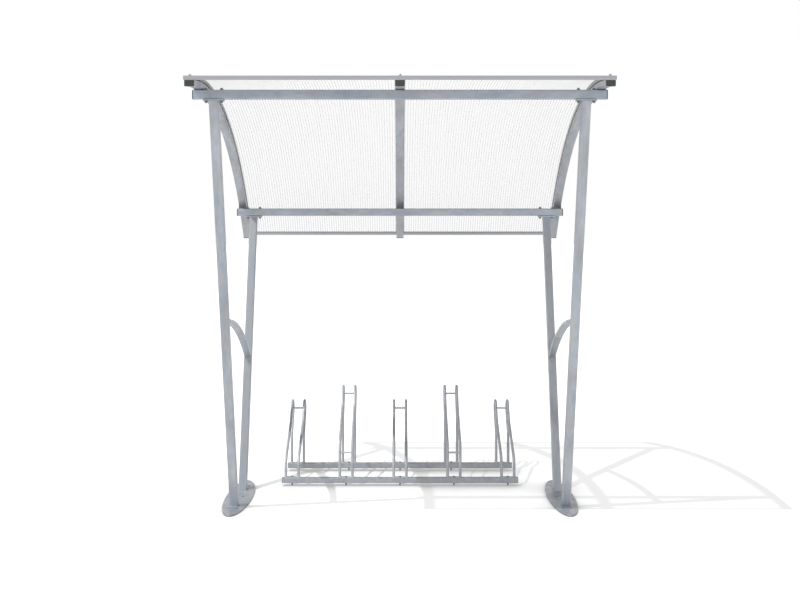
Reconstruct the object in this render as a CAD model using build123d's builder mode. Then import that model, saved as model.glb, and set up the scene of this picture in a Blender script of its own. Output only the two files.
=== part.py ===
# Open bike shelter: two V frames of square tube on oval foot plates, two purlins,
# three curved ribs, a curved multiwall roof in two bays, and a five-place bike rack.
# Millimetres. X runs along the shelter, Y from the open front to the back, Z up.
# The origin is on the ground, under the middle of the shelter's bounding box.
import math
import os

from build123d import *

os.makedirs("parts", exist_ok=True)

# Feet and V frames
foot_spread = 368.0  # between the two legs' centre lines on the plate
leg_lean = 17.1  # degrees from upright
leg_size = 50.0
leg_wall = 3.0
leg_corner = 5.0
plate_length = 818.0
plate_width = 165.0
plate_thickness = 10.0
plate_edge = 1.5
plate_setback = 20.5  # plate's middle behind the middle of the two legs' feet
anchor_spacing_x = 50.0
anchor_reach = 262.0  # plate's middle to the outer anchors
anchor_hole = 14.0

# Curved braces in the V frames
brace_width = 45.0
brace_depth = 20.0
brace_wall = 2.0
brace_corner = 3.0
brace_radius = 2000.0  # underside
brace_front_height = 1148.0  # underside at the front leg
brace_rear_height = 817.0  # underside at the rear leg

# Purlins and the plates that carry them
purlin_overhang = 4.0  # past the outer ribs' sides
purlin_size = 50.0
purlin_wall = 3.0
purlin_corner = 5.0
front_purlin_height = 2393.0  # underside
rear_purlin_height = 1745.0  # underside
flange_length = 112.0
flange_depth = 60.0
flange_thickness = 8.0
flange_corner = 10.0
flange_bolt_spacing = 84.0
flange_bolt = 10.0  # threaded rod with a nut on each end
flange_bolt_clearance = 1.0
flange_nut = 16.0
flange_nut_height = 8.0
flange_bolt_end = 4.0
flange_nut_gap = 3.0  # flat of the outer bolts' nuts to the outer ribs' sides

# Curved ribs
rib_pitch = 1078.0
rib_width = 50.0
rib_depth = 33.0
rib_wall = 2.5
rib_corner = 4.0
rib_radius = 2532.0  # underside
front_reach = 290.0  # front purlin's centre to the rib's front end
rear_reach = 234.0  # rear purlin's centre to the rib's rear end
pad_thickness = 3.0  # under the ribs on the front purlin
pad_length = 50.0
cleat_length = 24.0  # wedge under the ribs on the rear purlin
cleat_gap = 1.0  # rear purlin's top corner to the rib

# Roof covering, in layers on the ribs
bar_thickness = 3.0  # gaskets, side bars, cover strips and edge bars
sheet_thickness = 16.0
sheet_gap = 10.0  # between the two sheets, over the middle rib
sheet_edge_gap = 2.0  # a sheet's edge to the bar that closes it
edge_bar_overhang = 5.0  # past the outer ribs' sides
edge_bar_depth = 25.0  # under the sheets
edge_bar_lip = 12.0  # over the sheets
joint_gap = 1.0  # edge bar to gaskets, side bars and cover strips

# End caps
cap_thickness = 5.0
cap_plug = 15.0
cap_clearance = 0.3

# Bike rack
rack_setback = 329.0  # middle of the V frames' feet to the front rail's centre
rail_spacing = 400.0
rail_overhang = 16.5  # past the outer holders' plates
rail_size = 35.0
rail_wall = 2.0
rail_corner = 3.0
rail_height = 18.4  # underside
holder_pitch = 350.0
holder_gauge = 82.0  # between the two loops of one holder
holder_bar = 18.0
holder_rise = 100.0  # high holders above low ones
holder_top = 468.0  # top of the low loop's centre line
knee_height = 165.0
knee_lean = 28.0  # degrees from level
shoulder_setback = 54.0  # in front of the rear rail's centre
shoulder_lean = 52.0  # degrees from level
tip_radius = 52.0
knee_radius = 80.0
shoulder_radius = 150.0
rear_bend_radius = 60.0
holder_rod = 12.0
wheel_rod_height = 114.0  # on the low loop; only the high holders have this rod
tip_rod_drop = 21.0
holder_plate_width = 30.0
holder_plate_thickness = 3.0
rack_bolt = 8.0
rack_bolt_clearance = 1.0
rack_head = 13.0
rack_head_height = 5.3
rack_nut_height = 6.5


def circle_centre(first, first_radius, second, second_radius):
    # The lower of the two points at these distances from two points of the YZ plane.
    dy = second[0] - first[0]
    dz = second[1] - first[1]
    apart = math.hypot(dy, dz)
    along = (first_radius**2 - second_radius**2 + apart**2) / (2 * apart)
    across = math.sqrt(first_radius**2 - along**2)
    return (
        first[0] + (along * dy + across * dz) / apart,
        first[1] + (along * dz - across * dy) / apart,
    )


def angle_at(centre, radius, y):
    # Degrees from the top of an arc, positive towards the back, where it crosses y.
    return math.degrees(math.asin((y - centre[0]) / radius))


# Lengths along the shelter
roof_half_length = rib_pitch + rib_width / 2
purlin_length = 2 * (roof_half_length + purlin_overhang)
edge_bar_half_length = roof_half_length + edge_bar_overhang
outer_bolt_x = rib_pitch - rib_width / 2 - flange_nut_gap - flange_nut / 2
frame_half_spacing = outer_bolt_x - flange_bolt_spacing / 2
holder_plate_length = holder_gauge + holder_bar
rail_length = 4 * holder_pitch + holder_plate_length + 2 * rail_overhang

# Heights and Y places, first measured from the middle of the V frames' feet
lean_run = math.tan(math.radians(leg_lean))
front_purlin_y = -foot_spread / 2 - (front_purlin_height - plate_thickness) * lean_run
rear_purlin_y = foot_spread / 2 + (rear_purlin_height - plate_thickness) * lean_run
front_purlin_top = front_purlin_height + purlin_size
rear_purlin_top = rear_purlin_height + purlin_size
sheet_radius = rib_radius + rib_depth + bar_thickness  # underside of the sheets
cover_radius = sheet_radius + sheet_thickness
roof_radius = cover_radius + bar_thickness
arc_centre = circle_centre(
    (front_purlin_y, front_purlin_top + pad_thickness),
    rib_radius,
    (rear_purlin_y + purlin_size / 2, rear_purlin_top),
    rib_radius - cleat_gap,
)
front_angle = angle_at(arc_centre, rib_radius, front_purlin_y - front_reach)
rear_angle = angle_at(arc_centre, rib_radius, rear_purlin_y + rear_reach)

# Shift that brings the middle of the bounding box to Y = 0
front_edge = arc_centre[0] + roof_radius * math.sin(math.radians(front_angle))
rear_edge = arc_centre[0] + roof_radius * math.sin(math.radians(rear_angle))
base_y = -(front_edge + rear_edge) / 2
front_purlin_y += base_y
rear_purlin_y += base_y
arc_centre = (arc_centre[0] + base_y, arc_centre[1])
arc_axis = Axis((0, arc_centre[0], arc_centre[1]), (1, 0, 0))
plate_y = base_y + plate_setback
front_rail_y = base_y + rack_setback
rear_rail_y = front_rail_y + rail_spacing
rail_top = rail_height + rail_size
holder_foot = rail_top + holder_plate_thickness


def finish(part, name):
    part.label = name
    export_step(part, f"parts/{name}.step")


def arc_degrees(length, radius=sheet_radius):
    return math.degrees(length / radius)


def radial_plane(centre, angle):
    # Local X runs along the shelter and local Y is the distance from an arc's centre.
    turn = math.radians(angle)
    return Plane(
        origin=(0, centre[0], centre[1]),
        x_dir=(1, 0, 0),
        z_dir=(0, -math.cos(turn), math.sin(turn)),
    )


def roof_band(left, right, inner, outer, start, end):
    # A plain strip of the roof arc, from angle start to angle end.
    with BuildPart() as band:
        with BuildSketch(radial_plane(arc_centre, end)):
            with Locations(((left + right) / 2, (inner + outer) / 2)):
                Rectangle(right - left, outer - inner)
        revolve(axis=arc_axis, revolution_arc=end - start)
    return band.part


# Foot plates
def make_foot_plate(x):
    with BuildPart() as foot_plate:
        with BuildSketch():
            with Locations((x, plate_y)):
                Ellipse(plate_width / 2, plate_length / 2)
        extrude(amount=plate_thickness)
        chamfer(foot_plate.edges().group_by(Axis.Z)[-1], plate_edge)
        with Locations((x, plate_y, plate_thickness)):
            with GridLocations(anchor_spacing_x, anchor_reach, 2, 3):
                Hole(anchor_hole / 2)
    return foot_plate.part


# Legs: lean is -1 for a front leg and 1 for a rear leg
def leg_plane(x, lean):
    turn = math.radians(leg_lean)
    return Plane(
        origin=(x, base_y + lean * foot_spread / 2, plate_thickness),
        x_dir=(1, 0, 0),
        z_dir=(0, lean * math.sin(turn), math.cos(turn)),
    )


def make_leg(x, lean, top):
    length = (top - plate_thickness) / math.cos(math.radians(leg_lean))
    with BuildPart() as leg:
        with BuildSketch(leg_plane(x, lean).offset(-leg_size)):
            RectangleRounded(leg_size, leg_size, leg_corner)
            inside = leg_size - 2 * leg_wall
            RectangleRounded(inside, inside, leg_corner - leg_wall, mode=Mode.SUBTRACT)
        extrude(amount=length + 2 * leg_size)
        split(bisect_by=Plane.XY.offset(plate_thickness), keep=Keep.TOP)
        split(bisect_by=Plane.XY.offset(top), keep=Keep.BOTTOM)
    return leg.part


# Braces: a bent tube between the legs' facing sides
def leg_face(lean):
    # The plane of a leg's side that faces the other leg, pointing away from the leg.
    turn = math.radians(leg_lean)
    foot_y = base_y + lean * (foot_spread / 2 - leg_size / 2 / math.cos(turn))
    return Plane(
        origin=(0, foot_y, plate_thickness),
        x_dir=(1, 0, 0),
        z_dir=(0, -lean * math.cos(turn), math.sin(turn)),
    )


def face_y(lean, height):
    turn = math.radians(leg_lean)
    rise = (height - plate_thickness) * math.tan(turn)
    return base_y + lean * (foot_spread / 2 - leg_size / 2 / math.cos(turn) + rise)


def make_brace(x):
    front_end = (face_y(-1, brace_front_height), brace_front_height)
    rear_end = (face_y(1, brace_rear_height), brace_rear_height)
    centre = circle_centre(front_end, brace_radius, rear_end, brace_radius)
    past_ends = math.degrees(2 * leg_size / brace_radius)
    start = angle_at(centre, brace_radius, front_end[0]) - past_ends
    end = angle_at(centre, brace_radius, rear_end[0]) + past_ends
    with BuildPart() as brace:
        with BuildSketch(radial_plane(centre, end)):
            with Locations((x, brace_radius + brace_depth / 2)):
                RectangleRounded(brace_width, brace_depth, brace_corner)
                RectangleRounded(
                    brace_width - 2 * brace_wall,
                    brace_depth - 2 * brace_wall,
                    brace_corner - brace_wall,
                    mode=Mode.SUBTRACT,
                )
        revolve(axis=Axis((0, centre[0], centre[1]), (1, 0, 0)), revolution_arc=end - start)
        split(bisect_by=leg_face(-1), keep=Keep.TOP)
        split(bisect_by=leg_face(1), keep=Keep.TOP)
    return brace.part


# Flanges on the legs' tops
def make_flange(x, y, top):
    with BuildPart() as flange:
        with BuildSketch(Plane.XY.offset(top - flange_thickness)):
            with Locations((x, y)):
                RectangleRounded(flange_length, flange_depth, flange_corner)
                with Locations((-flange_bolt_spacing / 2, 0), (flange_bolt_spacing / 2, 0)):
                    Circle((flange_bolt + flange_bolt_clearance) / 2, mode=Mode.SUBTRACT)
        extrude(amount=flange_thickness)
    return flange.part


def bolt_places():
    # X of the four bolts that hold one purlin.
    return [
        side * frame_half_spacing + step * flange_bolt_spacing / 2
        for side in (-1, 1)
        for step in (-1, 1)
    ]


# Purlins
def make_purlin(y, underside):
    inside = purlin_size - 2 * purlin_wall
    with BuildPart() as purlin:
        with BuildSketch(Plane.YZ.offset(-purlin_length / 2)):
            with Locations((y, underside + purlin_size / 2)):
                RectangleRounded(purlin_size, purlin_size, purlin_corner)
                RectangleRounded(inside, inside, purlin_corner - purlin_wall, mode=Mode.SUBTRACT)
        extrude(amount=purlin_length)
        with BuildSketch(Plane.XY.offset(underside)):
            with Locations(*[(x, y) for x in bolt_places()]):
                Circle((flange_bolt + flange_bolt_clearance) / 2)
        extrude(amount=purlin_size, mode=Mode.SUBTRACT)
    return purlin.part


def make_purlin_caps(y, underside):
    plug = purlin_size - 2 * purlin_wall - 2 * cap_clearance
    with BuildPart() as caps:
        for side in (-1, 1):
            face = Plane(
                origin=(side * purlin_length / 2, y, underside + purlin_size / 2),
                x_dir=(0, 1, 0),
                z_dir=(side, 0, 0),
            )
            with BuildSketch(face):
                RectangleRounded(purlin_size, purlin_size, purlin_corner)
            extrude(amount=cap_thickness)
            with BuildSketch(face):
                RectangleRounded(plug, plug, purlin_corner - purlin_wall)
            extrude(amount=-cap_plug)
    return caps.part


def make_purlin_bolts(y, underside):
    low_nut = underside - flange_thickness - flange_nut_height
    high_nut = underside + purlin_size
    low_end = low_nut - flange_bolt_end
    high_end = high_nut + flange_nut_height + flange_bolt_end
    with BuildPart() as bolts:
        for x in bolt_places():
            with BuildSketch(Plane.XY.offset(low_end)):
                with Locations((x, y)):
                    Circle(flange_bolt / 2)
            extrude(amount=high_end - low_end)
            for bottom in (low_nut, high_nut):
                with BuildSketch(Plane.XY.offset(bottom)):
                    with Locations((x, y)):
                        RegularPolygon(flange_nut / 2, 6, major_radius=False)
                extrude(amount=flange_nut_height)
    return bolts.part


# Ribs, their end caps and what they rest on
cap_angle = arc_degrees(cap_thickness, rib_radius)
plug_angle = arc_degrees(cap_plug, rib_radius)


def make_rib(x):
    with BuildPart() as rib:
        with BuildSketch(radial_plane(arc_centre, rear_angle - cap_angle)):
            with Locations((x, rib_radius + rib_depth / 2)):
                RectangleRounded(rib_width, rib_depth, rib_corner)
                RectangleRounded(
                    rib_width - 2 * rib_wall,
                    rib_depth - 2 * rib_wall,
                    rib_corner - rib_wall,
                    mode=Mode.SUBTRACT,
                )
        revolve(axis=arc_axis, revolution_arc=rear_angle - front_angle - 2 * cap_angle)
    return rib.part


def make_rib_caps(angle, inward):
    # Inward is 1 where the rib runs on towards the back, and -1 towards the front.
    plug_width = rib_width - 2 * rib_wall - 2 * cap_clearance
    plug_depth = rib_depth - 2 * rib_wall - 2 * cap_clearance
    face_angle = angle + inward * cap_angle
    plug_end = face_angle + inward * plug_angle
    with BuildPart() as caps:
        for x in (-rib_pitch, 0, rib_pitch):
            with BuildSketch(radial_plane(arc_centre, max(angle, face_angle))):
                with Locations((x, rib_radius + rib_depth / 2)):
                    RectangleRounded(rib_width, rib_depth, rib_corner)
            revolve(axis=arc_axis, revolution_arc=cap_angle)
            with BuildSketch(radial_plane(arc_centre, max(face_angle, plug_end))):
                with Locations((x, rib_radius + rib_depth / 2)):
                    RectangleRounded(plug_width, plug_depth, rib_corner - rib_wall)
            revolve(axis=arc_axis, revolution_arc=plug_angle)
    return caps.part


def under_rib(y, length, bottom):
    # A block on a purlin under each rib, with its top cut to the ribs' underside.
    with BuildPart() as blocks:
        for x in (-rib_pitch, 0, rib_pitch):
            with BuildSketch(Plane.YZ.offset(x - rib_width / 2)):
                with Locations((y, bottom)):
                    Rectangle(length, rib_radius, align=(Align.CENTER, Align.MIN))
                with Locations(arc_centre):
                    Circle(rib_radius, mode=Mode.INTERSECT)
            extrude(amount=rib_width)
    return blocks.part


# Roof covering
def rib_edges(side):
    return side * rib_pitch - rib_width / 2, side * rib_pitch + rib_width / 2


gasket_inset = arc_degrees(edge_bar_depth + joint_gap)
cover_inset = arc_degrees(edge_bar_lip + joint_gap)
gasket_span = (front_angle + gasket_inset, rear_angle - gasket_inset)
cover_span = (front_angle + cover_inset, rear_angle - cover_inset)


def make_gasket(side):
    return roof_band(*rib_edges(side), sheet_radius - bar_thickness, sheet_radius, *gasket_span)


def make_side_bar(side):
    # Stands on the gasket's outer edge and closes the side of the sheet.
    span = sorted((side * (roof_half_length - bar_thickness), side * roof_half_length))
    return roof_band(*span, sheet_radius, cover_radius, *cover_span)


def make_cover_strip(side):
    return roof_band(*rib_edges(side), cover_radius, roof_radius, *cover_span)


def make_sheet(side):
    inset = arc_degrees(bar_thickness + sheet_edge_gap)
    edge = roof_half_length - bar_thickness - sheet_edge_gap
    span = sorted((side * sheet_gap / 2, side * edge))
    return roof_band(*span, sheet_radius, cover_radius, front_angle + inset, rear_angle - inset)


def make_edge_bar(angle, inward):
    # A channel that wraps the sheets' ends, open on the side that inward points to.
    wide = edge_bar_half_length
    web, lip, far = [
        angle + inward * arc_degrees(reach)
        for reach in (bar_thickness, edge_bar_lip, edge_bar_depth)
    ]
    block_ends = sorted((angle, far))
    slot_ends = sorted((web, far))
    bare_ends = sorted((lip, far))
    block = roof_band(-wide, wide, sheet_radius - bar_thickness, roof_radius, *block_ends)
    slot = roof_band(-wide, wide, sheet_radius, cover_radius, *slot_ends)
    return block - slot - roof_band(-wide, wide, sheet_radius, roof_radius, *bare_ends)


# Bike rack
def make_rail(y):
    inside = rail_size - 2 * rail_wall
    with BuildPart() as rail:
        with BuildSketch(Plane.YZ.offset(-rail_length / 2)):
            with Locations((y, rail_height + rail_size / 2)):
                RectangleRounded(rail_size, rail_size, rail_corner)
                RectangleRounded(inside, inside, rail_corner - rail_wall, mode=Mode.SUBTRACT)
        extrude(amount=rail_length)
        with BuildSketch(Plane.XY.offset(rail_height)):
            with Locations(*[(x, y) for x in holder_places()]):
                Circle((rack_bolt + rack_bolt_clearance) / 2)
        extrude(amount=rail_size, mode=Mode.SUBTRACT)
    return rail.part


def holder_places():
    return [step * holder_pitch for step in (-2, -1, 0, 1, 2)]


def make_holder(x, rise):
    # Two bent loops that lean back, joined by rods and by a foot plate on each rail.
    lean = math.radians(shoulder_lean)
    ahead = (math.cos(lean), math.sin(lean))
    above = (-math.sin(lean), math.cos(lean))
    knee = (front_rail_y, knee_height + rise)
    shoulder_reach = rail_spacing - shoulder_setback
    shoulder_height = shoulder_reach * math.tan(math.radians(knee_lean))
    shoulder = (knee[0] + shoulder_reach, knee[1] + shoulder_height)
    tip_z = holder_top + rise - tip_radius
    run = (tip_z - shoulder[1] + tip_radius * above[1]) / ahead[1]
    tip_y = shoulder[0] + run * ahead[0] - tip_radius * above[0]
    tip_front = (tip_y + tip_radius * above[0], tip_z + tip_radius * above[1])
    tip_rear = (tip_y - tip_radius * above[0], tip_z - tip_radius * above[1])
    tip_end = (tip_y + tip_radius * ahead[0], tip_z + tip_radius * ahead[1])
    rear_bend = (rear_rail_y, tip_rear[1] - (tip_rear[0] - rear_rail_y) * math.tan(lean))
    rod_back = tip_rod_drop / math.tan(lean)
    rods = [(tip_front[0] - rod_back, tip_front[1] - tip_rod_drop)]
    if rise:
        rods.append((front_rail_y, wheel_rod_height + rise))
    half_gauge = holder_gauge / 2
    with BuildPart() as holder:
        for loop_x in (x - half_gauge, x + half_gauge):
            with BuildLine(Plane.YZ.offset(loop_x)) as path:
                FilletPolyline(
                    (front_rail_y, holder_foot),
                    knee,
                    shoulder,
                    tip_front,
                    radius=[knee_radius, shoulder_radius],
                )
                ThreePointArc(tip_front, tip_end, tip_rear)
                FilletPolyline(
                    tip_rear,
                    rear_bend,
                    (rear_rail_y, holder_foot),
                    radius=rear_bend_radius,
                )
            with BuildSketch(Plane((loop_x, front_rail_y, holder_foot))):
                Circle(holder_bar / 2)
            sweep(path=path.line)
        for rod in rods:
            with BuildSketch(Plane.YZ.offset(x - half_gauge)):
                with Locations(rod):
                    Circle(holder_rod / 2)
            extrude(amount=holder_gauge)
        with BuildSketch(Plane.XY.offset(rail_top)):
            with Locations((x, front_rail_y), (x, rear_rail_y)):
                Rectangle(holder_plate_length, holder_plate_width)
                Circle((rack_bolt + rack_bolt_clearance) / 2, mode=Mode.SUBTRACT)
        extrude(amount=holder_plate_thickness)
    return holder.part


def make_rail_bolts(y):
    # Each bolt runs through a holder's plate and the rail, and stands on the ground.
    with BuildPart() as bolts:
        for x in holder_places():
            with BuildSketch():
                with Locations((x, y)):
                    Circle(rack_bolt / 2)
            extrude(amount=holder_foot)
            for bottom, height in (
                (rail_height - rack_nut_height, rack_nut_height),
                (holder_foot, rack_head_height),
            ):
                with BuildSketch(Plane.XY.offset(bottom)):
                    with Locations((x, y)):
                        RegularPolygon(rack_head / 2, 6, major_radius=False)
                extrude(amount=height)
    return bolts.part


for side_name, side in (("left", -1), ("right", 1)):
    frame_x = side * frame_half_spacing
    brace_x = frame_x - side * (leg_size - brace_width) / 2  # flush with the legs' inner sides
    front_top = front_purlin_height - flange_thickness
    rear_top = rear_purlin_height - flange_thickness
    finish(make_foot_plate(frame_x), f"{side_name}_foot_plate")
    finish(make_leg(frame_x, -1, front_top), f"{side_name}_front_leg")
    finish(make_leg(frame_x, 1, rear_top), f"{side_name}_rear_leg")
    finish(make_brace(brace_x), f"{side_name}_brace")
    finish(make_flange(frame_x, front_purlin_y, front_purlin_height), f"{side_name}_front_flange")
    finish(make_flange(frame_x, rear_purlin_y, rear_purlin_height), f"{side_name}_rear_flange")
    finish(make_sheet(side), f"{side_name}_roof_sheet")
    finish(make_side_bar(side), f"{side_name}_side_bar")

for end_name, purlin_y, underside in (
    ("front", front_purlin_y, front_purlin_height),
    ("rear", rear_purlin_y, rear_purlin_height),
):
    finish(make_purlin(purlin_y, underside), f"{end_name}_purlin")
    finish(make_purlin_caps(purlin_y, underside), f"{end_name}_purlin_caps")
    finish(make_purlin_bolts(purlin_y, underside), f"{end_name}_purlin_bolts")

for side_name, side in (("left", -1), ("middle", 0), ("right", 1)):
    finish(make_rib(side * rib_pitch), f"{side_name}_rib")
    finish(make_gasket(side), f"{side_name}_gasket")
    finish(make_cover_strip(side), f"{side_name}_cover_strip")

for end_name, angle, inward in (("front", front_angle, 1), ("rear", rear_angle, -1)):
    finish(make_rib_caps(angle, inward), f"{end_name}_rib_caps")
    finish(make_edge_bar(angle, inward), f"{end_name}_edge_bar")

finish(under_rib(front_purlin_y, pad_length, front_purlin_top), "front_rib_pads")
cleat_y = rear_purlin_y + purlin_size / 2 - cleat_length / 2
finish(under_rib(cleat_y, cleat_length, rear_purlin_top), "rear_rib_cleats")

for end_name, rail_y in (("front", front_rail_y), ("rear", rear_rail_y)):
    finish(make_rail(rail_y), f"rack_{end_name}_rail")
    finish(make_rail_bolts(rail_y), f"rack_{end_name}_bolts")

for number, holder_x in enumerate(holder_places(), start=1):
    rise = holder_rise if number % 2 == 0 else 0
    finish(make_holder(holder_x, rise), f"wheel_holder_{number}")
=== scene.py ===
# Open bike shelter with a five-place rack: materials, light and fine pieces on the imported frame.
import math

import bmesh
import bpy
from mathutils import Matrix, Vector


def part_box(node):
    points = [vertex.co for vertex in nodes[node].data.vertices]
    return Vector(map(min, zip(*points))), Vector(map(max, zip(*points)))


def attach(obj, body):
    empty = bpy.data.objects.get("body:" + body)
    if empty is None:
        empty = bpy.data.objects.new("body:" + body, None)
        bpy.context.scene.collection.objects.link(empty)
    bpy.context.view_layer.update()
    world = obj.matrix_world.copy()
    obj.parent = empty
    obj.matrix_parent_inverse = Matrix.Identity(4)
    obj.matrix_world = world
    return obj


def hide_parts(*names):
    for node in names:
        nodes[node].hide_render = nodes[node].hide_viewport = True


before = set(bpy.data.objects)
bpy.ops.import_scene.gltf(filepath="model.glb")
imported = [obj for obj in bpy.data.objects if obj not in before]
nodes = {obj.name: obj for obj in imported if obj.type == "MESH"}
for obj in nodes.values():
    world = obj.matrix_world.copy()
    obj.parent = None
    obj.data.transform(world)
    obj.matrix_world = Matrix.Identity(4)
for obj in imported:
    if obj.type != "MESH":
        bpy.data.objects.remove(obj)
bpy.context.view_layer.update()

scene = bpy.context.scene
print("frame loaded:", len(nodes), "nodes")


# shader helpers

def addNode(tree, kind, place, **values):
    node = tree.nodes.new(kind)
    node.location = place
    for name, value in values.items():
        setattr(node, name, value)
    return node


def setInputs(node, **values):
    for name, value in values.items():
        node.inputs[name].default_value = value


def isSocket(value):
    return isinstance(value, bpy.types.NodeSocket)


def fillSocket(tree, socket, value):
    # A socket is linked, and a plain value is set.
    if isSocket(value):
        tree.links.new(value, socket)
    else:
        socket.default_value = value


def mixColour(tree, place, factor, first, second, blend="MIX"):
    node = addNode(tree, "ShaderNodeMix", place, data_type="RGBA", blend_type=blend)
    fillSocket(tree, node.inputs[0], factor)
    for socket, value in ((node.inputs[6], first), (node.inputs[7], second)):
        fillSocket(tree, socket, value if isSocket(value) else (*value, 1))
    return node.outputs[2]


def mixValue(tree, place, factor, first, second):
    node = addNode(tree, "ShaderNodeMix", place)
    for socket, value in ((node.inputs[0], factor), (node.inputs[2], first), (node.inputs[3], second)):
        fillSocket(tree, socket, value)
    return node.outputs[0]


def addMath(tree, place, operation, *values):
    node = addNode(tree, "ShaderNodeMath", place, operation=operation)
    for socket, value in zip(node.inputs, values):
        fillSocket(tree, socket, value)
    return node.outputs[0]


def spread(tree, place, value, low, high, outLow=0.0, outHigh=1.0):
    # Carries a value from the range low to high over to the range outLow to outHigh.
    node = addNode(tree, "ShaderNodeMapRange", place)
    tree.links.new(value, node.inputs["Value"])
    for name, number in (("From Min", low), ("From Max", high), ("To Min", outLow), ("To Max", outHigh)):
        node.inputs[name].default_value = number
    return node.outputs["Result"]


def addNoise(tree, place, vector, settings):
    node = addNode(tree, "ShaderNodeTexNoise", place)
    setInputs(node, **settings)
    tree.links.new(vector, node.inputs["Vector"])
    return node.outputs["Fac"]


def addHeight(tree, source):
    # The Z of a direction, such as a face's normal.
    node = addNode(tree, "ShaderNodeSeparateXYZ", (-1050, 700))
    tree.links.new(source, node.inputs[0])
    return node.outputs["Z"]


def addBump(tree, height, strength, depth, shader):
    bump = addNode(tree, "ShaderNodeBump", (-400, -350))
    setInputs(bump, Strength=strength, Distance=depth)
    tree.links.new(height, bump.inputs["Height"])
    tree.links.new(bump.outputs["Normal"], shader.inputs["Normal"])


def newGroup(name, inputs, outputs):
    group = bpy.data.node_groups.new(name, "ShaderNodeTree")
    for label, kind, value in inputs:
        socket = group.interface.new_socket(name=label, in_out="INPUT", socket_type="NodeSocket" + kind)
        if value is not None:
            socket.default_value = value
    for label, kind in outputs:
        group.interface.new_socket(name=label, in_out="OUTPUT", socket_type="NodeSocket" + kind)
    start = addNode(group, "NodeGroupInput", (-900, 0))
    end = addNode(group, "NodeGroupOutput", (900, 0))
    return group, start, end


def useGroup(tree, place, group, vector):
    node = addNode(tree, "ShaderNodeGroup", place, node_tree=group)
    tree.links.new(vector, node.inputs["Vector"])
    return node


def newMaterial(name):
    material = bpy.data.materials.new(name)
    material.use_nodes = True
    tree = material.node_tree
    shader = tree.nodes["Principled BSDF"]
    where = addNode(tree, "ShaderNodeTexCoord", (-1500, 0)).outputs["Object"]
    return material, tree, shader, where


def mapped(tree, where, stretch):
    node = addNode(tree, "ShaderNodeMapping", (-1300, 0))
    node.inputs["Scale"].default_value = stretch
    tree.links.new(where, node.inputs["Vector"])
    return node.outputs["Vector"]


# shared effects

zincGroupSettings = {
    "cloud": {"Scale": 9.0, "Detail": 4.0, "Roughness": 0.55}, "cloudRange": (0.32, 0.68),
    "mottle": {"Scale": 34.0, "Detail": 3.0, "Roughness": 0.6}, "mottleRange": (0.34, 0.66),
    "hue": {"Scale": 16.0, "Detail": 2.0, "Roughness": 0.5}, "hueRange": (0.38, 0.62),
    "grain": {"Scale": 420.0, "Detail": 2.0, "Roughness": 0.5},
    "crystal": {"Scale": 85.0, "Randomness": 1.0},
    "mottleShare": 0.42, "grainShare": 0.35,
}


def makeZincGroup():
    # Clouds, mottle and crystal spangle of a hot-dip coat, with its fine uneven skin.
    group, start, end = newGroup(
        "zincBloom",
        [("Vector", "Vector", None), ("Spangle", "Float", 0.25)],
        [("Tone", "Float"), ("Hue", "Float"), ("Height", "Float")],
    )
    s = zincGroupSettings
    link = group.links.new
    where = start.outputs["Vector"]
    cloud = addNoise(group, (-650, 250), where, s["cloud"])
    mottle = addNoise(group, (-650, 0), where, s["mottle"])
    grain = addNoise(group, (-650, -500), where, s["grain"])
    hue = addNoise(group, (-650, 500), where, s["hue"])
    crystal = addNode(group, "ShaderNodeTexVoronoi", (-650, -250))
    setInputs(crystal, **s["crystal"])
    link(where, crystal.inputs["Vector"])
    crystalValue = addNode(group, "ShaderNodeSeparateColor", (-450, -250))
    link(crystal.outputs["Color"], crystalValue.inputs[0])
    cloudWide = spread(group, (-450, 250), cloud, *s["cloudRange"])
    mottleWide = spread(group, (-450, 0), mottle, *s["mottleRange"])
    both = mixValue(group, (-150, 150), s["mottleShare"], cloudWide, mottleWide)
    tone = mixValue(group, (100, 100), start.outputs["Spangle"], both, crystalValue.outputs[0])
    height = addMath(group, (100, -350), "MULTIPLY_ADD", grain, s["grainShare"], mottleWide)
    link(tone, end.inputs["Tone"])
    link(spread(group, (-450, 500), hue, *s["hueRange"]), end.inputs["Hue"])
    link(height, end.inputs["Height"])
    return group


dustGroupSettings = {
    "patch": {"Scale": 5.0, "Detail": 5.0, "Roughness": 0.65}, "patchRange": (0.4, 0.7),
    "speck": {"Scale": 160.0, "Detail": 2.0}, "speckRange": (0.35, 0.65), "speckDepth": (0.6, 1.0),
    "facing": (0.35, 0.95),
}


def makeDustGroup():
    # A thin film on faces that look up, broken into patches and specks.
    group, start, end = newGroup("dustFilm", [("Vector", "Vector", None)], [("Mask", "Float")])
    s = dustGroupSettings
    where = start.outputs["Vector"]
    geometry = addNode(group, "ShaderNodeNewGeometry", (-850, 250))
    up = spread(group, (-450, 250), addHeight(group, geometry.outputs["Normal"]), *s["facing"])
    patch = addNoise(group, (-650, 0), where, s["patch"])
    speck = addNoise(group, (-650, -250), where, s["speck"])
    broad = spread(group, (-450, 0), patch, *s["patchRange"])
    fine = spread(group, (-450, -250), speck, *s["speckRange"], *s["speckDepth"])
    film = addMath(group, (-150, 100), "MULTIPLY", up, broad)
    mask = addMath(group, (100, 0), "MULTIPLY", film, fine)
    group.links.new(mask, end.inputs["Mask"])
    return group


drawnGroupSettings = {
    "lines": {"Scale": 1.0, "Detail": 3.0, "Roughness": 0.6}, "linesRange": (0.3, 0.7),
    "patches": {"Scale": 0.06, "Detail": 3.0, "Roughness": 0.5}, "patchesRange": (0.35, 0.65),
}


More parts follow.
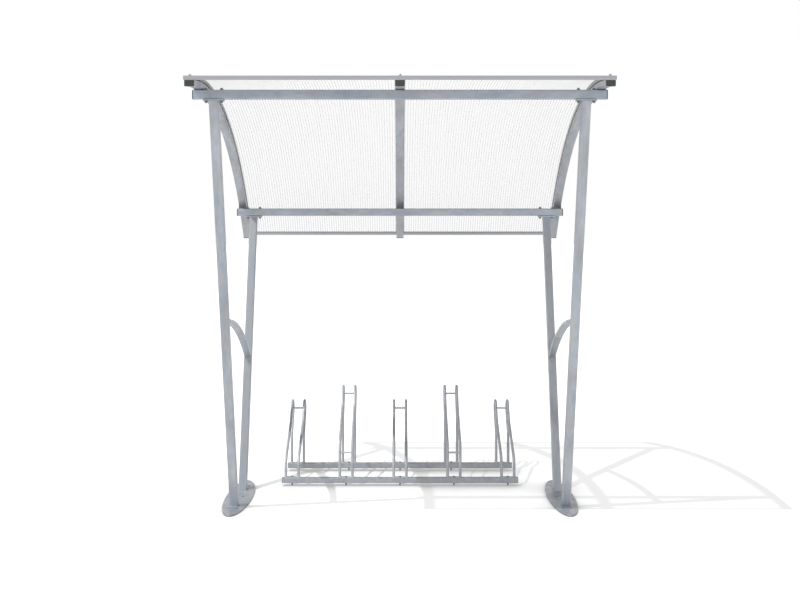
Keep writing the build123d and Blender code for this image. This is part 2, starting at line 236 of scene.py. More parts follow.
def makeDrawnGroup():
    # Long fine lines of a drawn or brushed bar. The vector comes in squeezed along the bar.
    outputs = [("Lines", "Float"), ("Patches", "Float")]
    group, start, end = newGroup("drawnLines", [("Vector", "Vector", None)], outputs)
    s = drawnGroupSettings
    where = start.outputs["Vector"]
    lines = addNoise(group, (-650, 150), where, s["lines"])
    patches = addNoise(group, (-650, -150), where, s["patches"])
    group.links.new(spread(group, (-400, 150), lines, *s["linesRange"]), end.inputs["Lines"])
    group.links.new(spread(group, (-400, -150), patches, *s["patchesRange"]), end.inputs["Patches"])
    return group


zincBloom = makeZincGroup()
dustFilm = makeDustGroup()
drawnLines = makeDrawnGroup()
print("shared effects made")


# metals and plastics

zincShared = {
    # holds for every zinc finish that doesn't state its own value
    "stretch": (1.0, 1.0, 1.0), "metallic": 0.72, "cool": (0.97, 1.0, 1.04), "warm": (1.02, 1.0, 0.97),
    "dustTone": (0.50, 0.49, 0.47), "dustAmount": 0.16, "bumpStrength": 0.16, "bumpDepth": 0.0006,
    # upright faces may be mixed towards a dark tone as painted shade; only the plates set a share for it
    "paintedShadeTone": (0.12, 0.125, 0.13), "paintedSideShade": 0, "edgeFacing": (0.3, 0.8),
}
zincFinishes = {
    # stretch is of the clouds; roughness runs from the light tone to the dark one
    "zincLegs": {
        "dark": (0.39, 0.42, 0.455), "light": (0.54, 0.565, 0.60), "roughness": (0.36, 0.56),
        "spangle": 0.14, "stretch": (1.3, 1.3, 0.16),
    },
    "zincPurlins": {
        "dark": (0.36, 0.395, 0.445), "light": (0.52, 0.555, 0.60), "roughness": (0.36, 0.52),
        "spangle": 0.20, "stretch": (0.35, 1.0, 1.0),
    },
    "zincRibs": {
        "dark": (0.385, 0.405, 0.43), "light": (0.54, 0.565, 0.59), "roughness": (0.36, 0.56),
        "spangle": 0.16, "stretch": (1.0, 0.4, 0.4),
    },
    "zincPlates": {
        "dark": (0.44, 0.465, 0.50), "light": (0.65, 0.675, 0.71), "roughness": (0.40, 0.58),
        # painted shade on the plates' upright cut edges
        "spangle": 0.20, "paintedSideShade": 0.55,
    },
    "zincRack": {
        "dark": (0.36, 0.38, 0.405), "light": (0.515, 0.535, 0.56), "roughness": (0.40, 0.56),
        "spangle": 0.14,
    },
    "zincHolders": {
        "dark": (0.45, 0.47, 0.495), "light": (0.64, 0.66, 0.685), "roughness": (0.48, 0.64),
        "spangle": 0.12, "metallic": 0.45,
    },
}


def makeZinc(name):
    material, tree, shader, where = newMaterial(name)
    s = {**zincShared, **zincFinishes[name]}
    link = tree.links.new
    place = mapped(tree, where, s["stretch"])
    bloom = useGroup(tree, (-1050, 100), zincBloom, place)
    bloom.inputs["Spangle"].default_value = s["spangle"]
    dust = useGroup(tree, (-1050, -200), dustFilm, place)
    grey = mixColour(tree, (-750, 200), bloom.outputs["Tone"], s["dark"], s["light"])
    tint = mixColour(tree, (-750, 450), bloom.outputs["Hue"], s["cool"], s["warm"])
    metal = mixColour(tree, (-550, 350), 1.0, grey, tint, blend="MULTIPLY")
    dustShare = spread(tree, (-750, -100), dust.outputs["Mask"], 0, 1, 0, s["dustAmount"])
    dusted = mixColour(tree, (-450, 200), dustShare, metal, s["dustTone"])
    # Painted shade: the upright cut edges of a flat plate are mixed towards a dark tone, darker than its
    # faces as if they stood in shade.
    geometry = addNode(tree, "ShaderNodeNewGeometry", (-1250, 700))
    level = addMath(tree, (-850, 700), "ABSOLUTE", addHeight(tree, geometry.outputs["True Normal"]))
    upright = spread(tree, (-650, 700), level, *s["edgeFacing"], s["paintedSideShade"], 0)
    link(mixColour(tree, (-250, 200), upright, dusted, s["paintedShadeTone"]), shader.inputs["Base Color"])
    smooth, rough = s["roughness"]
    link(spread(tree, (-450, -50), bloom.outputs["Tone"], 0, 1, rough, smooth), shader.inputs["Roughness"])
    addBump(tree, bloom.outputs["Height"], s["bumpStrength"], s["bumpDepth"], shader)
    shader.inputs["Metallic"].default_value = s["metallic"]
    return material


barFinish = {
    "dark": (0.39, 0.405, 0.43), "light": (0.49, 0.50, 0.52), "roughness": (0.30, 0.44), "metallic": 0.85,
    "acrossBar": 900.0, "alongBar": 14.0, "linesShare": 0.45, "patchesShare": 0.55,
    "bumpStrength": 0.10, "bumpDepth": 0.0002, "dustAmount": 0.18, "dustTone": (0.46, 0.45, 0.43),
}


def makeAluminium(name, stretch):
    material, tree, shader, where = newMaterial(name)
    s = barFinish
    link = tree.links.new
    drawn = useGroup(tree, (-1050, 100), drawnLines, mapped(tree, where, stretch))
    dust = useGroup(tree, (-1050, -200), dustFilm, where)
    lines = drawn.outputs["Lines"]
    patches = spread(tree, (-1000, 350), drawn.outputs["Patches"], 0, 1, 0, s["patchesShare"])
    tone = addMath(tree, (-800, 250), "MULTIPLY_ADD", lines, s["linesShare"], patches)
    metal = mixColour(tree, (-600, 250), tone, s["dark"], s["light"])
    dustShare = spread(tree, (-750, -100), dust.outputs["Mask"], 0, 1, 0, s["dustAmount"])
    link(mixColour(tree, (-400, 200), dustShare, metal, s["dustTone"]), shader.inputs["Base Color"])
    link(spread(tree, (-400, -50), lines, 0, 1, *s["roughness"]), shader.inputs["Roughness"])
    addBump(tree, lines, s["bumpStrength"], s["bumpDepth"], shader)
    shader.inputs["Metallic"].default_value = s["metallic"]
    return material


darkFinishes = {
    # name: dark tone, light tone, roughness low and high, grain scale, bump depth
    "capPlastic": ((0.043, 0.050, 0.050), (0.062, 0.071, 0.071), (0.42, 0.58), 700.0, 0.00015),
    "packerPlastic": ((0.11, 0.115, 0.12), (0.15, 0.155, 0.16), (0.50, 0.66), 600.0, 0.00015),
    # the cleats' dark tone is partly painted shade: the contact shade where the ribs sit on the rear purlin
    "cleatToneAndPaintedShade": ((0.18, 0.185, 0.19), (0.23, 0.235, 0.24), (0.50, 0.66), 600.0, 0.00015),
    "sealRubber": ((0.065, 0.068, 0.072), (0.10, 0.104, 0.108), (0.60, 0.78), 500.0, 0.0002),
    "greySeal": ((0.50, 0.51, 0.52), (0.58, 0.59, 0.60), (0.55, 0.70), 400.0, 0.00015),
    # the tapes' pale tone is partly painted light: the lit undersides of the cover strips seen through the
    # sheets
    "paleSealAndPaintedLight": ((0.86, 0.865, 0.87), (0.92, 0.925, 0.93), (0.55, 0.70), 400.0, 0.00015),
}
darkShared = {
    "grain": {"Detail": 3.0, "Roughness": 0.6}, "patch": {"Scale": 25.0, "Detail": 3.0},
    "patchRange": (0.3, 0.7), "bumpStrength": 0.35,
}


def makeDark(name, dark, light, roughness, grainScale, depth):
    material, tree, shader, where = newMaterial(name)
    s = darkShared
    link = tree.links.new
    grain = addNoise(tree, (-1000, 100), where, {"Scale": grainScale, **s["grain"]})
    patch = addNoise(tree, (-1000, -150), where, s["patch"])
    link(mixColour(tree, (-600, 200), patch, dark, light), shader.inputs["Base Color"])
    link(spread(tree, (-600, -50), patch, *s["patchRange"], *roughness), shader.inputs["Roughness"])
    addBump(tree, grain, s["bumpStrength"], depth, shader)
    return material


boltFinishes = {
    "boltZinc": {"dark": (0.20, 0.21, 0.225), "light": (0.33, 0.345, 0.36), "metallic": 0.75},
    "screwZinc": {"dark": (0.40, 0.41, 0.43), "light": (0.56, 0.575, 0.59), "metallic": 0.60},
}
boltShared = {
    # roughness runs from the light tone to the dark one
    "grain": {"Scale": 260.0, "Detail": 4.0, "Roughness": 0.6}, "grainRange": (0.35, 0.65),
    "roughness": (0.36, 0.54), "bumpStrength": 0.2, "bumpDepth": 0.0002,
}


def makeBoltZinc(name):
    material, tree, shader, where = newMaterial(name)
    s = {**boltShared, **boltFinishes[name]}
    link = tree.links.new
    grain = addNoise(tree, (-1000, 100), where, s["grain"])
    tone = spread(tree, (-800, 100), grain, *s["grainRange"])
    link(mixColour(tree, (-500, 200), tone, s["dark"], s["light"]), shader.inputs["Base Color"])
    smooth, rough = s["roughness"]
    link(spread(tree, (-500, -50), tone, 0, 1, rough, smooth), shader.inputs["Roughness"])
    addBump(tree, grain, s["bumpStrength"], s["bumpDepth"], shader)
    shader.inputs["Metallic"].default_value = s["metallic"]
    return material


sheetFinish = {
    "skinTone": (0.93, 0.945, 0.95), "skinDust": (0.84, 0.83, 0.80), "skinAlpha": (0.04, 0.06),
    "skinRoughness": (0.06, 0.22), "skinStretch": (160.0, 2.0, 2.0), "skinShade": 0.34, "dustAlpha": 0.05,
    "ior": 1.58, "bumpStrength": 0.1, "bumpDepth": 0.0003,
    "webTone": (0.60, 0.62, 0.63), "webAlpha": (0.03, 0.07), "webRoughness": 0.25,
    "rootTone": (0.34, 0.355, 0.37), "rootAlpha": (0.17, 0.27), "rootRoughness": 0.35,
    "wallStretch": (40.0, 3.0, 3.0), "wallLighter": 1.12,
}


def makeSheetSkin():
    # Clear sheet: mostly lets the view through, with a thin dust film on its top and faint drawn lines.
    # It shades what is below it more than it veils the view.
    material, tree, shader, where = newMaterial("clearSheetSkin")
    s = sheetFinish
    link = tree.links.new
    drawn = useGroup(tree, (-1050, 100), drawnLines, mapped(tree, where, s["skinStretch"]))
    lines, patches = drawn.outputs["Lines"], drawn.outputs["Patches"]
    mask = useGroup(tree, (-1050, -200), dustFilm, where).outputs["Mask"]
    link(mixColour(tree, (-500, 250), mask, s["skinTone"], s["skinDust"]), shader.inputs["Base Color"])
    link(spread(tree, (-500, 0), patches, 0, 1, *s["skinRoughness"]), shader.inputs["Roughness"])
    clear = spread(tree, (-750, -450), lines, 0, 1, *s["skinAlpha"])
    dusty = spread(tree, (-750, -650), mask, 0, 1, 0, s["dustAlpha"])
    veil = addMath(tree, (-400, -500), "ADD", clear, dusty)
    shadowRay = addNode(tree, "ShaderNodeLightPath", (-600, -800)).outputs["Is Shadow Ray"]
    alpha = addMath(tree, (-200, -500), "MULTIPLY_ADD", shadowRay, s["skinShade"], veil)
    link(alpha, shader.inputs["Alpha"])
    addBump(tree, lines, s["bumpStrength"], s["bumpDepth"], shader)
    shader.inputs["IOR"].default_value = s["ior"]
    return material


def makeSheetWall(name, tone, alpha, roughness):
    # The upright walls between a multiwall sheet's two skins, and the thicker roots where they meet a skin.
    material, tree, shader, where = newMaterial(name)
    s = sheetFinish
    link = tree.links.new
    drawn = useGroup(tree, (-1050, 100), drawnLines, mapped(tree, where, s["wallStretch"]))
    lighter = [channel * s["wallLighter"] for channel in tone]
    link(mixColour(tree, (-500, 250), drawn.outputs["Patches"], tone, lighter), shader.inputs["Base Color"])
    link(spread(tree, (-500, 0), drawn.outputs["Lines"], 0, 1, *alpha), shader.inputs["Alpha"])
    shader.inputs["Roughness"].default_value = roughness
    return material


materials = {name: makeZinc(name) for name in zincFinishes}
materials.update({name: makeDark(name, *values) for name, values in darkFinishes.items()})
alongX = (barFinish["alongBar"], barFinish["acrossBar"], barFinish["acrossBar"])
alongRoof = (barFinish["acrossBar"], barFinish["alongBar"], barFinish["alongBar"])
materials["edgeAluminium"] = makeAluminium("edgeAluminium", alongX)
materials["barAluminium"] = makeAluminium("barAluminium", alongRoof)
materials.update({name: makeBoltZinc(name) for name in boltFinishes})
materials["clearSheetSkin"] = makeSheetSkin()
for part in ("web", "root"):
    look = [sheetFinish[part + word] for word in ("Tone", "Alpha", "Roughness")]
    materials[part + "Plastic"] = makeSheetWall(part + "Plastic", *look)

nodeMaterials = {
    # the end of a node's name, or the start of a numbered one, and its material
    "_leg": "zincLegs", "_brace": "zincLegs", "_foot_plate": "zincPlates", "_flange": "zincPurlins",
    "_purlin": "zincPurlins", "_rib": "zincRibs", "_rail": "zincRack", "wheel_holder_": "zincHolders",
    "_caps": "capPlastic", "_pads": "packerPlastic", "_cleats": "cleatToneAndPaintedShade", "_gasket": "sealRubber",
    "_bolts": "boltZinc", "_edge_bar": "edgeAluminium", "_side_bar": "barAluminium",
    "_cover_strip": "barAluminium", "_roof_sheet": "clearSheetSkin",
}


def dressNodes():
    for name, node in nodes.items():
        ending = next(e for e in nodeMaterials if name.endswith(e) or name[:-1] == e)
        material = materials[nodeMaterials[ending]]
        if not node.material_slots:
            node.data.materials.append(material)
        for place in node.material_slots:
            place.material = material


dressNodes()
print("materials on the nodes")


# making pieces

meshWork = {"mergeDistance": 1e-6, "smoothAngle": 35}


def objectFrom(name, shape):
    # Puts a bmesh into an object at the origin.
    mesh = bpy.data.meshes.new(name)
    shape.to_mesh(mesh)
    shape.free()
    piece = bpy.data.objects.new(name, mesh)
    scene.collection.objects.link(piece)
    return piece


def finishPiece(name, shape, used, stands=(), smoothAngle=meshWork["smoothAngle"]):
    # Turns the normals outwards, smooths the soft edges and rides the piece on the root body.
    bmesh.ops.remove_doubles(shape, verts=shape.verts, dist=meshWork["mergeDistance"])
    bmesh.ops.recalc_face_normals(shape, faces=shape.faces)
    sharp = math.radians(smoothAngle)
    for face in shape.faces:
        face.smooth = True
    for edge in shape.edges:
        edge.smooth = edge.is_manifold and edge.calc_face_angle(0) < sharp
    piece = objectFrom(name, shape)
    for material in used:
        piece.data.materials.append(material)
    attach(piece, "root")
    if stands:
        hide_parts(*stands)


# roof arc, read back from the middle cover strip

roofLayers = {"coverTop": 2.587, "coverUnder": 2.584, "sheetUnder": 2.568}  # radii


def findRoofArc():
    low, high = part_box("middle_cover_strip")
    centreZ = high.z - roofLayers["coverTop"]
    rearTurn = math.acos((low.z - centreZ) / roofLayers["coverUnder"])
    centreY = high.y - roofLayers["coverTop"] * math.sin(rearTurn)
    frontTurn = math.asin((low.y - centreY) / roofLayers["coverTop"])
    return Vector((0, centreY, centreZ)), frontTurn, rearTurn


arcCentre, stripFront, stripRear = findRoofArc()


def arcPoint(x, radius, turn):
    return Vector((x, arcCentre.y + radius * math.sin(turn), arcCentre.z + radius * math.cos(turn)))


def arcTurnAt(y, radius):
    return math.asin((y - arcCentre.y) / radius)


def arcBand(shape, spans, inner, outer, start, end, steps):
    # Rectangles in the plane of turn `start`, spun about the roof's axis to turn `end`.
    faces = []
    for left, right in spans:
        corners = [(left, inner), (right, inner), (right, outer), (left, outer)]
        faces.append(shape.faces.new([shape.verts.new(arcPoint(x, radius, start)) for x, radius in corners]))
    edges = [edge for face in faces for edge in face.edges]
    before = set(shape.faces)
    bmesh.ops.spin(
        shape, geom=faces + edges, cent=arcCentre, axis=(-1, 0, 0), angle=end - start, steps=steps,
        use_duplicate=False,
    )
    return [face for face in shape.faces if face not in before] + [face for face in faces if face.is_valid]


# multiwall sheets

sheetPiece = {
    "webPitch": 0.016, "webThickness": 0.0007, "rootWidth": 0.0022, "rootThickness": 0.0005,
    "skinGap": 0.0004, "steps": 36,
}


def widen(places, width):
    return [(x - width / 2, x + width / 2) for x in places]


def makeSheet(side):
    # The outer box is the two skins. The walls and their roots lie inside it.
    node = f"{side}_roof_sheet"
    low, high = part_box(node)
    s = sheetPiece
    under = roofLayers["sheetUnder"] + s["skinGap"]
    over = roofLayers["coverUnder"] - s["skinGap"]
    start = arcTurnAt(low.y, roofLayers["coverUnder"])
    end = arcTurnAt(high.y, roofLayers["coverUnder"])
    count = int((high.x - low.x) / s["webPitch"])
    middle = (low.x + high.x) / 2
    places = [middle + (i - (count - 1) / 2) * s["webPitch"] for i in range(count)]
    rootTop = under + s["skinGap"] + s["rootThickness"]
    layers = [
        ([(low.x, high.x)], under, over),
        (widen(places, s["webThickness"]), rootTop, over - s["skinGap"]),
        (widen(places, s["rootWidth"]), under + s["skinGap"], rootTop),
    ]
    shape = bmesh.new()
    for number, (spans, inner, outer) in enumerate(layers):
        for face in arcBand(shape, spans, inner, outer, start, end, s["steps"]):
            face.material_index = number
    used = [materials["clearSheetSkin"], materials["webPlastic"], materials["rootPlastic"]]
    finishPiece(f"{side}MultiwallSheet", shape, used, [node])


for side in ("left", "right"):
    makeSheet(side)
print("multiwall sheets made")


# seals and fixings of the roof

sealPiece = {
    "tapeThickness": 0.0003, "tapeInset": 0.001, "touch": 0.00002, "lipWidth": 0.003, "lipHeight": 0.0018,
    "lipRound": 0.0006, "roundSteps": 2, "cornerRadians": 1, "wallThickness": 0.0012, "steps": 36,
}


def makeSeals():
    # Pale tapes under and over the sheets' edges, a closing strip in the flutes beside each rib,
    # and a lip along the cover strips' sides on the sheets.
    s = sealPiece
    tape = bmesh.new()
    lips = bmesh.new()
    walls = bmesh.new()
    overTop = roofLayers["coverUnder"] - s["touch"]
    underTop = roofLayers["sheetUnder"] + s["touch"] + s["tapeThickness"]
    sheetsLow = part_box("left_roof_sheet")[0].x
    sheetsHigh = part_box("right_roof_sheet")[1].x
    lipTop = roofLayers["coverUnder"] + s["lipHeight"]
    for side in ("left", "middle", "right"):
        low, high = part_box(f"{side}_cover_strip")
        span = [(max(low.x, sheetsLow) + s["tapeInset"], min(high.x, sheetsHigh) - s["tapeInset"])]
        for top in (overTop, underTop):
            arcBand(tape, span, top - s["tapeThickness"], top, stripFront, stripRear, s["steps"])
        for piece, wide, inner, outer in (
            (lips, s["lipWidth"], roofLayers["coverUnder"] - s["tapeThickness"], lipTop),
            (walls, s["wallThickness"], underTop + s["tapeThickness"], overTop - 2 * s["tapeThickness"]),
        ):
            beside = []
            if side != "left":
                beside.append((low.x - wide, low.x))
            if side != "right":
                beside.append((high.x, high.x + wide))
            arcBand(piece, beside, inner, outer, stripFront, stripRear, s["steps"])
    bmesh.ops.recalc_face_normals(lips, faces=lips.faces)
    edges = [edge for edge in lips.edges if edge.is_manifold]
    corners = [edge for edge in edges if edge.calc_face_angle(0) > s["cornerRadians"]]
    bmesh.ops.bevel(
        lips, geom=corners, offset=s["lipRound"], segments=s["roundSteps"], profile=0.5, affect="EDGES",
        material=-1,
    )
    # The tape's pale tone partly stands in as painted light on the cover strips' undersides.
    finishPiece("coverStripTape", tape, [materials["paleSealAndPaintedLight"]])
    finishPiece("coverStripLips", lips, [materials["greySeal"]])
    finishPiece("fluteClosingStrips", walls, [materials["greySeal"]])


def patternMesh(shape):
    mesh = bpy.data.meshes.new("pattern")
    shape.to_mesh(mesh)
    shape.free()
    return mesh


def turnedMesh(profile, steps):
    # A closed outline of (radius, height) points, spun about Z.
    shape = bmesh.new()
    points = [shape.verts.new((radius, 0, height)) for radius, height in profile]
    for first, second in zip(points, points[1:] + points[:1]):
        if first.co.x > 0 or second.co.x > 0:
            shape.edges.new((first, second))
    bmesh.ops.spin(
        shape, geom=shape.verts[:] + shape.edges[:], cent=(0, 0, 0), axis=(0, 0, 1), angle=2 * math.pi,
        steps=steps, use_merge=True, use_duplicate=False,
    )
    bmesh.ops.remove_doubles(shape, verts=shape.verts, dist=meshWork["mergeDistance"])
    bmesh.ops.recalc_face_normals(shape, faces=shape.faces)
    return patternMesh(shape)


def placeCopies(shape, pattern, places):
    # Adds the pattern's mesh to the shape at each place, and then drops the pattern.
    for place in places:
        known = len(shape.verts)
        shape.from_mesh(pattern)
        shape.verts.ensure_lookup_table()
        bmesh.ops.transform(shape, matrix=place, verts=shape.verts[known:])
    bpy.data.meshes.remove(pattern)


screwPiece = {
    "count": 9, "endInset": 0.010, "washerRadius": 0.0095, "washerHeight": 0.0016, "washerSlope": 0.0004,
    "capRadius": 0.0062, "capRim": 0.0006, "capStraight": 0.0045, "capDome": 0.0040,
    "domeAngles": (0, 20, 42, 66), "steps": 20,
}


def screwOutline():
    s = screwPiece
    base = s["washerHeight"]
    straight = base + s["capStraight"]
    washer = [(0, 0), (s["washerRadius"], 0), (s["washerRadius"] - s["washerSlope"], base)]
    rim = [(s["capRadius"] + s["capRim"], base), (s["capRadius"], base + s["capRim"])]
    dome = [
        (s["capRadius"] * math.cos(turn), straight + s["capDome"] * math.sin(turn))
        for turn in (math.radians(angle) for angle in s["domeAngles"])
    ]
    return [*washer, *rim, *dome, (0, straight + s["capDome"])]


def makeScrews():
    # Dome-headed screws on their washers, evenly along the cover strips.
    s = screwPiece
    first = stripFront + s["endInset"] / roofLayers["coverTop"]
    last = stripRear - s["endInset"] / roofLayers["coverTop"]
    turns = [first + (last - first) * i / (s["count"] - 1) for i in range(s["count"])]
    places = []
    for side in ("left", "middle", "right"):
        low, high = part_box(f"{side}_cover_strip")
        for turn in turns:
            spot = arcPoint((low.x + high.x) / 2, roofLayers["coverTop"], turn)
            places.append(Matrix.Translation(spot) @ Matrix.Rotation(-turn, 4, "X"))
    shape = bmesh.new()
    placeCopies(shape, turnedMesh(screwOutline(), s["steps"]), places)
    finishPiece("coverStripScrews", shape, [materials["screwZinc"]])


makeSeals()
makeScrews()
print("seals and screws made")


# washers and welds

washerPiece = {
    # purlin and rack: hole radius, edge radius, thickness
    "purlin": (0.0050, 0.0108, 0.0018), "rack": (0.0040, 0.0082, 0.0014), "boltInset": 0.014,
    "round": 0.0004, "steps": 24,
}
beadPiece = {
    # halfAlong, halfAcross and height are one ripple's, a little longer than the pitch so that they overlap
    "halfAlong": 0.0027, "halfAcross": 0.0029, "height": 0.0030, "pitch": 0.0031, "segments": 6, "rings": 4,
    "smoothAngle": 80, "nearFace": 0.0005,
}
rackWeld = {
    "plateThickness": 0.003, "barRadius": 0.009, "sink": 0.0005, "reach": 0.0032, "height": 0.0034,
    "lip": 0.0004, "bend": (0.45, 0.4), "steps": 16,
}
holderNumbers = range(1, 6)


def washerPattern(hole, edge, height):
    bend = washerPiece["round"]
    lower = [(hole, 0), (edge - bend, 0), (edge, bend)]
    upper = [(edge, height - bend), (edge - bend, height), (hole, height)]
    return turnedMesh(lower + upper, washerPiece["steps"])


def makeWashers():
    # Flat washers under every nut and head of the purlins' studs and the rack's bolts.
    s = washerPiece
    shape = bmesh.new()
    places = []
    height = s["purlin"][2]
    for end in ("front", "rear"):
        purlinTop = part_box(f"{end}_purlin")[1].z
        for side in ("left", "right"):
            low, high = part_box(f"{side}_{end}_flange")
            middle = (low.y + high.y) / 2
            for x in (low.x + s["boltInset"], high.x - s["boltInset"]):
                places.append(Matrix.Translation((x, middle, purlinTop)))
                places.append(Matrix.Translation((x, middle, low.z - height)))
    placeCopies(shape, washerPattern(*s["purlin"]), places)
    places = []
    height = s["rack"][2]
    for end in ("front", "rear"):
        low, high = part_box(f"rack_{end}_rail")
        for number in holderNumbers:
            left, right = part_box(f"wheel_holder_{number}")
            spot = ((left.x + right.x) / 2, (low.y + high.y) / 2)
            places.append(Matrix.Translation((*spot, high.z + rackWeld["plateThickness"])))
            places.append(Matrix.Translation((*spot, low.z - height)))
    placeCopies(shape, washerPattern(*s["rack"]), places)
    finishPiece("boltWashers", shape, [materials["boltZinc"]])


def beadPattern():
    s = beadPiece
    shape = bmesh.new()
    bmesh.ops.create_uvsphere(shape, u_segments=s["segments"], v_segments=s["rings"], radius=1)
    bmesh.ops.scale(shape, vec=(s["halfAlong"], s["halfAcross"], s["height"]), verts=shape.verts)
    return patternMesh(shape)


def beadPlaces(start, end):
    # One place per ripple of the bead, with its X along the run.
    run = end - start
    count = max(2, round(run.length / beadPiece["pitch"]))
    turn = run.to_track_quat("X", "Z").to_matrix().to_4x4()
    return [Matrix.Translation(start + run * (i + 0.5) / count) @ turn for i in range(count)]


def beadRing(corners):
    places = []
    for first, second in zip(corners, corners[1:] + corners[:1]):
        places += beadPlaces(first, second)
    return places


def flatRing(left, right, front, rear, z):
    corners = ((left, front), (right, front), (right, rear), (left, rear))
    return beadRing([Vector((*corner, z)) for corner in corners])


def legLean(leg, deep):
    # How far the leg's sides move in Y per metre of height.
    low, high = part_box(leg)
    return (high.y - low.y - deep) / (high.z - low.z)


def legRings(leg, lean):
    # The rings at the leg's foot and top, and the line of its face on the brace's side.
    low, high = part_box(leg)
    wide = high.x - low.x
    deep = wide / math.cos(math.atan(legLean(leg, wide)))
    frontSpan = (high.y - deep, high.y)
    rearSpan = (low.y, low.y + deep)
    foot, top = (frontSpan, rearSpan) if lean < 0 else (rearSpan, frontSpan)
    rings = flatRing(low.x, high.x, *foot, low.z) + flatRing(low.x, high.x, *top, high.z)
    footFace = foot[1] if lean < 0 else foot[0]
    slope = lean * legLean(leg, deep)
    return rings, lambda z: footFace + slope * (z - low.z)


def braceRing(brace, faceAt):
    # The ring round the brace's end that meets the leg's face.
    low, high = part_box(brace)
    spots = [vertex.co for vertex in nodes[brace].data.vertices]
    heights = [spot.z for spot in spots if abs(spot.y - faceAt(spot.z)) < beadPiece["nearFace"]]
    under, over = min(heights), max(heights)
    corners = ((high.x, under), (low.x, under), (low.x, over), (high.x, over))
    return beadRing([Vector((x, faceAt(z), z)) for x, z in corners])


def makeFrameWelds():
    # Rippled beads round the legs' feet and tops and round the braces' ends.
    places = []
    for side in ("left", "right"):
        for end, lean in (("front", -1), ("rear", 1)):
            rings, faceAt = legRings(f"{side}_{end}_leg", lean)
            places += rings + braceRing(f"{side}_brace", faceAt)
    shape = bmesh.new()
    placeCopies(shape, beadPattern(), places)
    used = [materials["zincLegs"]]
    finishPiece("frameWeldBeads", shape, used, smoothAngle=beadPiece["smoothAngle"])
    print("weld ripples:", len(places))


def makeRackWelds():
    # A fillet of weld round each loop's foot, on the holder's plate.
    s = rackWeld
    inner = s["barRadius"] - s["sink"]
    reach = s["barRadius"] + s["reach"]
    bend = (reach - s["reach"] * s["bend"][0], s["height"] * s["bend"][1])
    outline = [(inner, 0), (reach, 0), bend, (s["barRadius"] + s["lip"], s["height"]), (inner, s["height"])]
    places = []
    for number in holderNumbers:
        low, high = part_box(f"wheel_holder_{number}")
        for end in ("front", "rear"):
            railLow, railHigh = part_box(f"rack_{end}_rail")
            y = (railLow.y + railHigh.y) / 2
            for x in (low.x + s["barRadius"], high.x - s["barRadius"]):
                places.append(Matrix.Translation((x, y, railHigh.z + s["plateThickness"])))
    shape = bmesh.new()
    placeCopies(shape, turnedMesh(outline, s["steps"]), places)
    finishPiece("loopFootWelds", shape, [materials["zincHolders"]])


makeWashers()
makeFrameWelds()
makeRackWelds()
print("washers and welds made")


# floor, light and camera

floorFinish = {
    # the two pairs: as reflected in the metal, and as seen by the camera
    "bounce": 0.80, "colour": (0.30, 0.88), "glow": (0.82, 0.60), "size": 80.0, "drop": 0.0006,
    # soft shade close to what stands on it
    "nearReach": 0.24, "nearOpen": 0.50, "nearCurve": 2.2, "nearShade": (0.55, 1.0), "nearSamples": 16,
}
worldLight = {
    # paleBelow and dimAbove are sines of heights
    "fill": 0.66, "background": 1.0, "top": 0.34, "paleBelow": 0.20, "dimAbove": 0.62,
}
sunLight = {"strength": 2.2, "spreadDegrees": 0.6, "slant": (0.507, 0.398, -1.0)}
frontView = {
    # ahead is counted from the front purlin
    "ahead": 5.96794, "height": 1.850, "lens": 50.0, "sensor": 36.0, "shiftY": -0.1244,
    "transform": "Standard", "clearBounces": 64,
}


def seenDirectly(tree, place):
    # 1 for rays that show a backdrop: camera, glossy and transmission rays.
    x, y = place
    path = addNode(tree, "ShaderNodeLightPath", place).outputs
    direct = addMath(tree, (x + 200, y), "MAXIMUM", path["Is Camera Ray"], path["Is Glossy Ray"])
    return addMath(tree, (x + 400, y), "MAXIMUM", direct, path["Is Transmission Ray"])


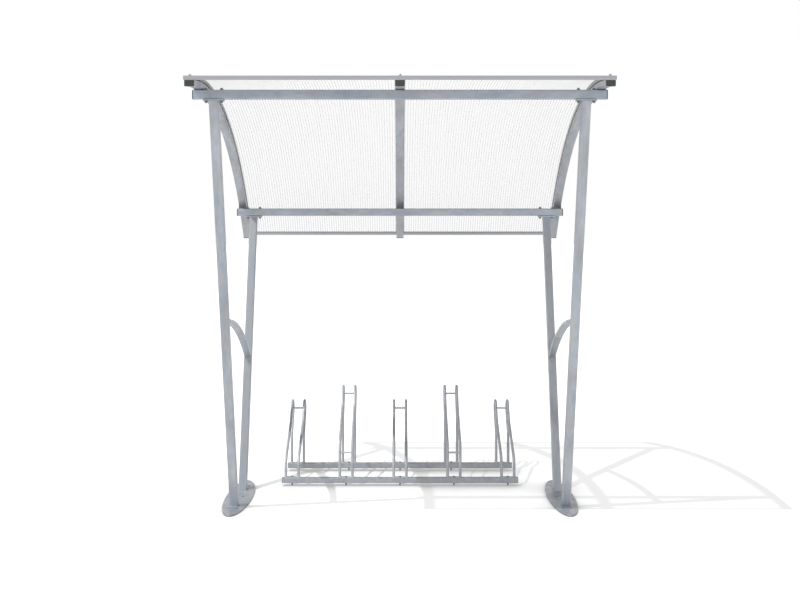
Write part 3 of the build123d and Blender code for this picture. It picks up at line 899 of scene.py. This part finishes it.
def makeFloor():
    s = floorFinish
    shape = bmesh.new()
    place = Matrix.Translation((0, 0, -s["drop"]))
    bmesh.ops.create_grid(shape, x_segments=1, y_segments=1, size=s["size"] / 2, matrix=place)
    floor = objectFrom("paleFloor", shape)
    material = bpy.data.materials.new("paleFloor")
    material.use_nodes = True
    tree = material.node_tree
    tree.nodes.clear()
    link = tree.links.new
    bounce = addNode(tree, "ShaderNodeBsdfDiffuse", (0, 200))
    seen = addNode(tree, "ShaderNodeBsdfDiffuse", (0, 0))
    glow = addNode(tree, "ShaderNodeEmission", (0, -200))
    bounce.inputs["Color"].default_value = (s["bounce"],) * 3 + (1,)
    toCamera = addNode(tree, "ShaderNodeLightPath", (-700, -100)).outputs["Is Camera Ray"]
    near = addNode(tree, "ShaderNodeAmbientOcclusion", (-700, 100), samples=s["nearSamples"])
    near.inputs["Distance"].default_value = s["nearReach"]
    clearing = spread(tree, (-600, 150), near.outputs["AO"], s["nearOpen"], 1.0)
    curve = addMath(tree, (-500, 300), "POWER", clearing, s["nearCurve"])
    shade = spread(tree, (-450, 150), curve, 0, 1, *s["nearShade"])
    for pair, socket in ((s["colour"], seen.inputs["Color"]), (s["glow"], glow.inputs["Strength"])):
        level = spread(tree, (-400, 0), toCamera, 0, 1, *pair)
        link(addMath(tree, (-200, 0), "MULTIPLY", level, shade), socket)
    total = addNode(tree, "ShaderNodeAddShader", (250, -100))
    link(seen.outputs[0], total.inputs[0])
    link(glow.outputs[0], total.inputs[1])
    choose = addNode(tree, "ShaderNodeMixShader", (450, 100))
    link(seenDirectly(tree, (-700, 400)), choose.inputs[0])
    link(bounce.outputs[0], choose.inputs[1])
    link(total.outputs[0], choose.inputs[2])
    link(choose.outputs[0], addNode(tree, "ShaderNodeOutputMaterial", (700, 100)).inputs["Surface"])
    floor.data.materials.append(material)


def makeWorld():
    s = worldLight
    world = bpy.data.worlds.new("softStudio")
    scene.world = world
    world.use_nodes = True
    tree = world.node_tree
    tree.nodes.clear()
    link = tree.links.new
    direction = addNode(tree, "ShaderNodeTexCoord", (-1250, -400)).outputs["Generated"]
    height = addHeight(tree, direction)
    fade = spread(tree, (-300, -400), height, s["paleBelow"], s["dimAbove"], 1.0, s["top"])
    level = spread(tree, (0, -100), seenDirectly(tree, (-700, 0)), 0, 1, s["fill"], s["background"])
    light = addNode(tree, "ShaderNodeBackground", (400, 0))
    light.inputs["Color"].default_value = (1, 1, 1, 1)
    link(addMath(tree, (200, -200), "MULTIPLY", level, fade), light.inputs["Strength"])
    link(light.outputs[0], addNode(tree, "ShaderNodeOutputWorld", (650, 0)).inputs["Surface"])


def makeSun():
    s = sunLight
    lamp = bpy.data.lights.new("softSun", "SUN")
    lamp.energy = s["strength"]
    lamp.angle = math.radians(s["spreadDegrees"])
    sun = bpy.data.objects.new("softSun", lamp)
    sun.rotation_mode = "QUATERNION"
    sun.rotation_quaternion = Vector(s["slant"]).to_track_quat("-Z", "Y")
    scene.collection.objects.link(sun)


def makeCamera():
    s = frontView
    lens = bpy.data.cameras.new("frontCamera")
    lens.lens = s["lens"]
    lens.sensor_width = s["sensor"]
    lens.shift_y = s["shiftY"]
    camera = bpy.data.objects.new("frontCamera", lens)
    low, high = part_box("front_purlin")
    camera.location = (0, (low.y + high.y) / 2 - s["ahead"], s["height"])
    camera.rotation_euler = (math.pi / 2, 0, 0)
    scene.collection.objects.link(camera)
    scene.camera = camera


makeFloor()
makeWorld()
makeSun()
makeCamera()
scene.view_settings.view_transform = frontView["transform"]
scene.cycles.transparent_max_bounces = frontView["clearBounces"]
print("floor, light and camera made")
